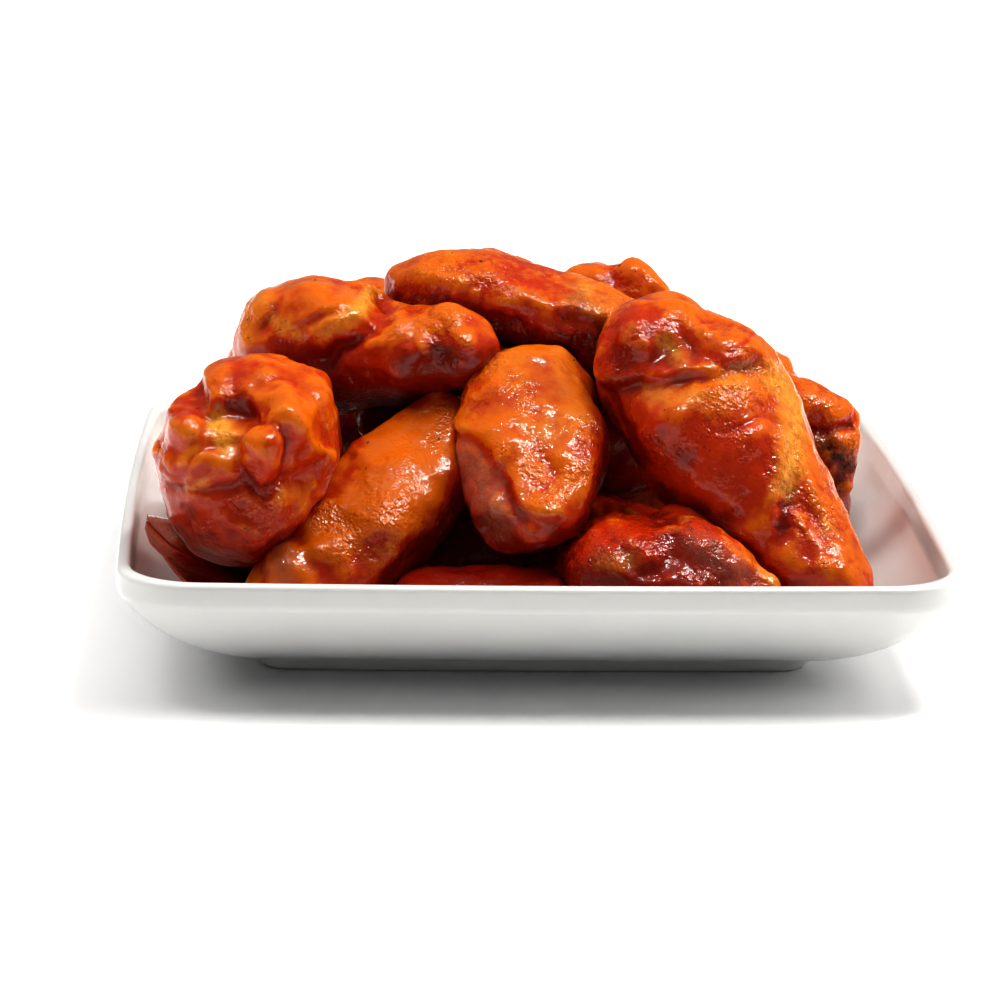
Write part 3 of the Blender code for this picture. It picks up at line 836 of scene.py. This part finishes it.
def paint(name, skin, seed, places, occlusion, rough):
    """Stores what the material reads. The places are the points before they were roughened."""
    hollow = skin.hollowness(*FINE_HOLLOW)
    broad_hollow = skin.hollowness(*BROAD_HOLLOW)
    # The sauce attribute turns the colour from orange to deep red. Besides its random flow and the wing's
    # own marks, it is painted shade: deeper in hollows (where sauce also pools), on the underside that faces
    # down, and where other wings or the plate are close round a point.
    underside_shade = ramp(-skin.normals[:, 2], -0.65, 0.70)
    flow = layered(places, 16 * MM, 3, seed + 41)
    sauce = 0.22 + 0.13 * np.clip(hollow, -1.2, 1.6) + 0.22 * np.clip(broad_hollow, -1.0, 1.5)
    sauce += 0.50 * underside_shade + 0.22 * flow + 0.65 * ramp(occlusion, 0.10, 0.75)
    # Wings at the back get more where they face the front among others: painted shade in the gaps of the
    # heap.
    if name not in IN_FRONT:
        sauce += 0.9 * facing_front(skin) * ramp(occlusion, 0.05, 0.30)
    store(skin.mesh, "sauce", sauce + paint_marks(name, skin, "sauce"))
    pale = ramp(waves(places, 13 * MM, seed + 51) - 0.4 * hollow, 0.62, 0.95) * (1 - underside_shade) * 0.3
    pale *= 1 - ramp(occlusion, 0.1, 0.4)
    store(skin.mesh, "pale", np.clip(pale + paint_marks(name, skin, "pale"), 0, 1))
    crisp = ramp(-hollow, 0.9, 2.2) * ramp(waves(places, 12 * MM, seed + 61), 0.25, 0.7) * 0.5
    store(skin.mesh, "browned", np.clip(crisp + paint_marks(name, skin, "browned"), 0, 1))
    store(skin.mesh, "flesh", np.clip(paint_marks(name, skin, "flesh"), 0, 1))
    store(skin.mesh, "grain", np.clip(0.10 + 0.9 * rough, 0, 1.3))


def make_wing(name, material, others):
    """A wing's skin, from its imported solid."""
    in_front = name in IN_FRONT
    obj = remeshed("skin_" + name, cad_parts[name], FINE_VOXEL if in_front else PLAIN_VOXEL)
    skin = Skin(obj)
    seed = sum(ord(letter) for letter in name)
    skin.smooth(FRONT_ROUNDS if in_front else BACK_ROUNDS)
    skin.move(np.full(len(skin.points), SKIN_LIFT))
    occlusion = crowding(skin, others)
    lump(name, skin, seed)
    fold(name, skin, seed)
    places = skin.points.copy()
    rough = roughen(name, skin, seed)
    paint(name, skin, seed, places, occlusion, rough)
    skin.mesh.materials.append(material)
    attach(obj, "root")
    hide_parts(name)
    return skin


# ---------------------------------------------------------------- plate


def square_ring(half_side, corner, height):
    """A square with round corners and slightly bowed sides, anticlockwise, at one height."""
    bow = SIDE_BOW * half_side / (PLATE_SIDE / 2)
    straight = half_side - corner
    ring = []
    for quarter in range(4):
        turn = Matrix.Rotation(quarter * math.pi / 2, 3, "Z")
        for step in range(SIDE_STEPS):
            along = -1 + 2 * step / SIDE_STEPS
            out = half_side + bow * (1 - along * along)
            ring.append(turn @ Vector((out, along * straight, height)))
        for step in range(CORNER_STEPS):
            angle = step / CORNER_STEPS * math.pi / 2
            across = straight + corner * math.cos(angle)
            ring.append(turn @ Vector((across, straight + corner * math.sin(angle), height)))
    return ring


def wall_curve(foot_half, rim_half, low, high):
    """(half side, height) along an arc whose slope grows from the foot to the band under the rim."""
    first, last = WALL_SLOPES
    curve = []
    for step in range(WALL_STEPS + 1):
        slope = first + (last - first) * step / WALL_STEPS
        out = (math.sin(slope) - math.sin(first)) / (math.sin(last) - math.sin(first))
        up = (math.cos(first) - math.cos(slope)) / (math.cos(first) - math.cos(last))
        curve.append((foot_half + (rim_half - foot_half) * out, low + (high - low) * up))
    return curve


def corner_at(half_side):
    """Corner radius, growing from the foot to the rim."""
    share = (half_side - FOOT_SIDE / 2) / (PLATE_SIDE / 2 - FOOT_SIDE / 2)
    return FOOT_CORNER + (RIM_CORNER - FOOT_CORNER) * min(max(share, 0), 1)


def inner_wall():
    rim_inner = PLATE_SIDE / 2 - WALL_THICKNESS
    return wall_curve(FOOT_SIDE / 2, rim_inner - BAND_LEAN, FLOOR_TOP, PLATE_HEIGHT - BAND_HEIGHT)


def rounded(profile, rounds):
    """The profile with its corners eased, its two ends kept."""
    for _ in range(rounds):
        eased = [profile[0]]
        for (x0, z0), (x1, z1) in zip(profile, profile[1:]):
            eased.append((0.75 * x0 + 0.25 * x1, 0.75 * z0 + 0.25 * z1))
            eased.append((0.25 * x0 + 0.75 * x1, 0.25 * z0 + 0.75 * z1))
        profile = eased + [profile[-1]]
    return profile


def lip_curve():
    """Half a turn over the lip, from its outside to its inside."""
    middle = PLATE_SIDE / 2 - WALL_THICKNESS / 2
    drop = 2 * MM
    curve = []
    for step in range(LIP_STEPS + 1):
        angle = math.pi * step / LIP_STEPS
        out = middle + WALL_THICKNESS / 2 * math.copysign(abs(math.cos(angle)) ** 0.8, math.cos(angle))
        curve.append((out, PLATE_HEIGHT - drop + drop * math.sin(angle) ** 0.8))
    return curve


def plate_profile():
    foot_half = FOOT_SIDE / 2
    rim_half = PLATE_SIDE / 2
    ring_in = foot_half - FOOT_WIDTH - FOOT_DRAFT
    under = [
        (foot_half / 2, RECESS_TOP + DISH / 2),
        (ring_in - 1.6 * FOOT_DRAFT, RECESS_TOP + 0.1 * MM),
        (ring_in - FOOT_DRAFT, RECESS_TOP),
        (ring_in - 0.3 * FOOT_DRAFT, 0.4 * MM),
        (ring_in, 0),
        (foot_half - 1.3 * FOOT_DRAFT, 0),
        (foot_half - FOOT_DRAFT, 0.1 * MM),
        (foot_half - 0.75 * FOOT_DRAFT, 0.8 * MM),
    ]
    outside = wall_curve(foot_half, rim_half, FOOT_HEIGHT, PLATE_HEIGHT - BAND_HEIGHT)
    floor = [(foot_half * 0.93, FLOOR_TOP - 0.15 * MM), (foot_half / 2, FLOOR_TOP - DISH / 2)]
    return rounded(under + outside + lip_curve() + inner_wall()[::-1] + floor, 1)


def make_plate(material):
    rings = [square_ring(half, corner_at(half), height) for half, height in plate_profile()]
    count = len(rings[0])
    points = [Vector((0, 0, RECESS_TOP + DISH))] + [point for ring in rings for point in ring]
    points.append(Vector((0, 0, FLOOR_TOP - DISH)))
    last = len(points) - 1
    faces = []
    for i in range(count):
        j = (i + 1) % count
        faces.append((0, 1 + j, 1 + i))
        for k in range(len(rings) - 1):
            low = 1 + k * count
            faces.append((low + i, low + j, low + count + j, low + count + i))
        faces.append((last, last - count + i, last - count + j))
    obj = new_object("glazed_plate", mesh_of("glazed_plate", points, faces))
    obj.data.materials.append(material)
    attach(obj, "root")
    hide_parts("plate")
    return obj


# ---------------------------------------------------------------- sauce in the plate

SAUCE_STEP = 0.8 * MM
SAUCE_LIFT = 0.05 * MM
SAUCE_BASE = 0.8 * MM
SAUCE_EDGE = 2.2 * MM
FEET_TOP = 34 * MM
SMEAR_TOP = 24 * MM
SMEAR_RIGHT = -58 * MM


def wings_feet(skins):
    """The low points of the wings, to measure distances to."""
    near = []
    for skin in skins:
        near.extend(skin.points[skin.points[:, 2] < FEET_TOP][::5].tolist())
    tree = KDTree(len(near))
    for index, point in enumerate(near):
        tree.insert(point, index)
    tree.balance()
    return tree


def smear_margin(surface, wobble):
    """How far inside the smear each point is: a wedge on the left wall that widens downward."""
    depth = SMEAR_TOP - surface[:, 2]
    front_edge = -18 * MM - 9 * MM * ramp(depth, 0, 3.5 * MM) - 2.3 * np.maximum(depth - 6 * MM, 0)
    back_edge = -9 * MM + 3 * depth
    # Each distance is across the plate: divided by its edge's slope, it is the distance from the edge.
    from_front = (surface[:, 1] - front_edge + wobble) / 1.6
    from_back = (back_edge + wobble - surface[:, 1]) / 2.7
    inside = np.minimum(np.minimum(from_front, from_back), depth * 1.2)
    return np.where(surface[:, 0] < SMEAR_RIGHT, inside, -1)


def film_mesh(name, top, base, cells, index_of):
    """A closed mesh over the chosen cells of a grid, from the points of its top and its base."""
    total = len(top)
    faces = []
    boundary = {}
    for i, j in zip(*np.nonzero(cells)):
        ring = [index_of[i, j], index_of[i + 1, j], index_of[i + 1, j + 1], index_of[i, j + 1]]
        faces.append(ring)
        faces.append([total + k for k in reversed(ring)])
        for a, b in zip(ring, ring[1:] + ring[:1]):
            if (b, a) in boundary:
                del boundary[(b, a)]
            else:
                boundary[(a, b)] = True
    faces.extend([[b, a, total + a, total + b] for a, b in boundary])
    return mesh_of(name, np.concatenate([top, base]), faces)


def make_sauce(skins, plate, material):
    """A film that clings round the wings' feet, and a smear up the left wall."""
    inside = BVHTree.FromObject(plate, bpy.context.evaluated_depsgraph_get())
    feet = wings_feet(skins)

    # A grid in plan, finer over the left wall, is dropped onto the glaze.
    half = PLATE_SIDE / 2 - WALL_THICKNESS - 0.5 * MM
    along = np.arange(-half, half, SAUCE_STEP)
    on_left_wall = np.arange(-half, -0.7 * half, SAUCE_STEP * 0.4)
    across = np.concatenate([on_left_wall, along[along > -0.7 * half]])
    x, y = np.meshgrid(across, along, indexing="ij")
    plan = np.stack([x.ravel(), y.ravel(), np.zeros(x.size)], axis=1)
    surface = np.zeros((x.size, 3))
    normal = np.zeros((x.size, 3))
    away = np.full(x.size, 1.0)
    for index, (px, py, _) in enumerate(plan):
        place, lean, _, _ = inside.ray_cast(Vector((px, py, PLATE_HEIGHT - 0.5 * MM)), Vector((0, 0, -1)))
        if place is None:
            continue
        surface[index] = place
        normal[index] = lean
        away[index] = feet.find(place)[2]

    # How far inside the film each point is: near the feet on the floor, or in the smear.
    height = surface[:, 2]
    wobble = 0.8 * MM * waves(plan, 9 * MM, 3)
    margin = (3.4 + 3.2 * layered(plan, 16 * MM, 3, 5)) * MM - away
    margin -= 12 * MM * ramp(height, 11 * MM, 18 * MM)
    margin = np.maximum(margin, smear_margin(surface, wobble))

    # Past its edge the film sinks under the glaze, so that the edge is an even line.
    share = np.clip(margin / SAUCE_EDGE, 0, 1)
    on_wall = ramp(height, 12 * MM, 19 * MM)
    thickness = (0.35 + 0.25 * waves(plan, 9 * MM, 4)) * (1 - 0.75 * on_wall) * MM
    thickness += 1.1 * MM * np.exp(-away / (1.8 * MM))
    run = np.exp(-(((surface[:, 1] + 12.5 * MM + 2 * wobble) / (1.1 * MM)) ** 2))
    thickness += 0.55 * MM * run * on_wall
    film = thickness * np.sqrt(share * (2 - share)) + np.clip(margin, -1 * MM, 0) * 0.3

    # The cells of the grid that the film covers.
    wet = ((margin > -2.4 * MM) & (normal[:, 2] > 0.1)).reshape(x.shape)
    cells = wet[:-1, :-1] & wet[1:, :-1] & wet[:-1, 1:] & wet[1:, 1:]
    used = np.zeros(x.shape, bool)
    for shift_x, shift_y in ((0, 0), (1, 0), (0, 1), (1, 1)):
        used[shift_x:shift_x + cells.shape[0], shift_y:shift_y + cells.shape[1]] |= cells
    index_of = np.full(x.shape, -1)
    index_of[used] = np.arange(used.sum())
    kept = used.ravel()
    top = surface[kept] + normal[kept] * (film[kept] + SAUCE_LIFT)[:, None]
    base = surface[kept] - normal[kept] * SAUCE_BASE
    obj = new_object("sauce_in_plate", film_mesh("sauce_in_plate", top, base, cells, index_of))
    depth = np.clip(film[kept] / (0.7 * MM), 0, 1) * share[kept]
    store(obj.data, "depth", np.concatenate([depth, depth]))
    obj.data.materials.append(material)
    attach(obj, "root")
    return obj


# ---------------------------------------------------------------- pepper

PEPPER_COUNT = 190
# The smallest grain's radius in millimetres, and how much the largest adds to it.
PEPPER_RADIUS = (0.22, 0.30)
FULL_TURN = 6.28


def make_pepper(skins, material):
    """Coarse grains, pressed a little into the sauce."""
    draw = np.random.default_rng(SEED + 3)
    smallest, more = PEPPER_RADIUS
    work = bmesh.new()
    for _ in range(PEPPER_COUNT):
        skin = skins[draw.integers(len(skins))]
        index = draw.integers(len(skin.points))
        normal = Vector(skin.normals[index])
        if normal.z < -0.35:
            continue
        size = (smallest + more * draw.random() ** 2) * MM
        turn = normal.to_track_quat("Z", "Y").to_matrix().to_4x4()
        spin = Matrix.Rotation(draw.random() * FULL_TURN, 4, "Z")
        squash = Matrix.Diagonal((1.0, 0.55 + 0.4 * draw.random(), 0.5, 1.0))
        place = Matrix.Translation(Vector(skin.points[index]) + normal * size * 0.15)
        matrix = place @ turn @ spin @ squash
        made = bmesh.ops.create_icosphere(work, subdivisions=2, radius=size, matrix=matrix)
        for vert in made["verts"]:
            vert.co += Vector(draw.normal(size=3)) * size * 0.10
    mesh = bpy.data.meshes.new("ground_pepper")
    work.to_mesh(mesh)
    work.free()
    obj = new_object("ground_pepper", mesh)
    mesh.materials.append(material)
    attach(obj, "root")
    return obj


# ---------------------------------------------------------------- room, lights and camera


def make_floor():
    mesh = mesh_of("floor", [(-6, -6, 0), (6, -6, 0), (6, 6, 0), (-6, 6, 0)], [(0, 1, 2, 3)])
    obj = new_object("floor", mesh)
    n = Nodes("pale_floor")
    obj.data.materials.append(n.set(Base_Color=(0.86, 0.86, 0.865), Roughness=0.7, Specular_IOR_Level=0.2))


KEY_TOWARD = Vector((0.42, 0.38, 1.0))
KEY_STRENGTH = 1.12
KEY_ANGLE = math.radians(11)
LAMP_COLOUR = (1.0, 0.985, 0.96)
ROOM_COLOUR = (0.98, 0.99, 1.0)
ROOM_LIGHT = 0.16
# Softboxes: name, direction, distance, size, power.
FILL_BOXES = (
    ("ceiling", (-0.1, 0.15, 1.0), 4.0, (4.0, 1.6), 70),
    ("left_box", (-0.85, 0.22, 1.0), 3.0, (2.0, 1.8), 30),
    ("right_box", (1.0, 0.25, 0.62), 3.0, (2.4, 1.8), 56),
)
GLOSS_BOXES = (
    ("gloss_box", (0.20, -0.20, 0.96), 4.0, (1.5, 0.8), 46),
    ("gloss_box_right", (0.62, 0.0, 0.78), 4.0, (0.9, 0.6), 17),
    ("gloss_box_front", (0.40, -0.30, 0.86), 4.0, (0.7, 0.6), 28),
    ("gloss_box_left", (-0.85, 0.22, 1.0), 3.0, (2.0, 1.8), 9),
    ("sparkle_middle", (0.14, -0.22, 0.96), 4.0, (0.20, 0.20), 16),
    ("sparkle_right", (0.42, -0.16, 0.88), 4.0, (0.20, 0.20), 16),
    ("sparkle_left", (-0.22, -0.18, 0.94), 4.0, (0.20, 0.20), 12),
)


def add_light(name, kind, toward, away):
    """A light at a distance in one direction, facing the plate, its width level."""
    lamp = bpy.data.lights.new(name, kind)
    lamp.color = LAMP_COLOUR
    toward = toward.normalized()
    across = (Vector((1, 0, 0)) - toward * toward.x).normalized()
    light = new_object(name, lamp)
    turn = Matrix((across, toward.cross(across), toward)).transposed().to_4x4()
    light.matrix_world = Matrix.Translation(toward * away) @ turn
    return light


def add_softbox(name, toward, away, size, power):
    light = add_light(name, "AREA", Vector(toward), away)
    light.data.shape = "RECTANGLE"
    light.data.size, light.data.size_y = size
    light.data.energy = power
    return light


def make_lights():
    """A key from behind and softboxes that light without a shine, boxes for the shine, and a dim room."""
    key = add_light("key", "SUN", KEY_TOWARD, 2.0)
    key.data.energy = KEY_STRENGTH
    key.data.angle = KEY_ANGLE
    key.visible_glossy = False
    for box in FILL_BOXES:
        add_softbox(*box).visible_glossy = False
    for box in GLOSS_BOXES:
        add_softbox(*box).visible_diffuse = False
    world = bpy.data.worlds.new("studio")
    bpy.context.scene.world = world
    world.use_nodes = True
    background = world.node_tree.nodes["Background"].inputs
    background["Color"].default_value = (*ROOM_COLOUR, 1)
    background["Strength"].default_value = ROOM_LIGHT


CAMERA_PLACE = (-0.0533, -0.9371, 0.2619)
CAMERA_PITCH = math.radians(14.12)
CAMERA_YAW = math.radians(2.89)
CAMERA_ROLL = math.radians(1.07)
CAMERA_LENS = 135.72


def make_camera():
    ahead = Vector((math.sin(CAMERA_YAW) * math.cos(CAMERA_PITCH),
                    math.cos(CAMERA_YAW) * math.cos(CAMERA_PITCH), -math.sin(CAMERA_PITCH)))
    right = ahead.cross(Vector((0, 0, 1))).normalized()
    up = right.cross(ahead)
    level_right = math.cos(CAMERA_ROLL) * right + math.sin(CAMERA_ROLL) * up
    level_up = math.cos(CAMERA_ROLL) * up - math.sin(CAMERA_ROLL) * right
    lens = bpy.data.cameras.new("camera")
    lens.lens = CAMERA_LENS
    lens.sensor_width = 36
    lens.clip_start = 0.05
    camera = new_object("camera", lens)
    turn = Matrix((level_right, level_up, -ahead)).transposed().to_4x4()
    camera.matrix_world = Matrix.Translation(CAMERA_PLACE) @ turn
    bpy.context.scene.camera = camera


def main():
    bpy.context.scene.view_settings.view_transform = "Standard"
    bpy.context.scene.view_settings.look = "High Contrast"
    make_camera()
    make_floor()
    make_lights()
    skin_material = make_wing_material()
    others = scene_tree()
    skins = [make_wing(name, skin_material, others) for name in WINGS]
    plate = make_plate(make_glaze_material())
    bpy.context.view_layer.update()
    make_sauce(skins, plate, make_sauce_material())
    make_pepper(skins, make_pepper_material())


main()
bpy.context.view_layer.update()
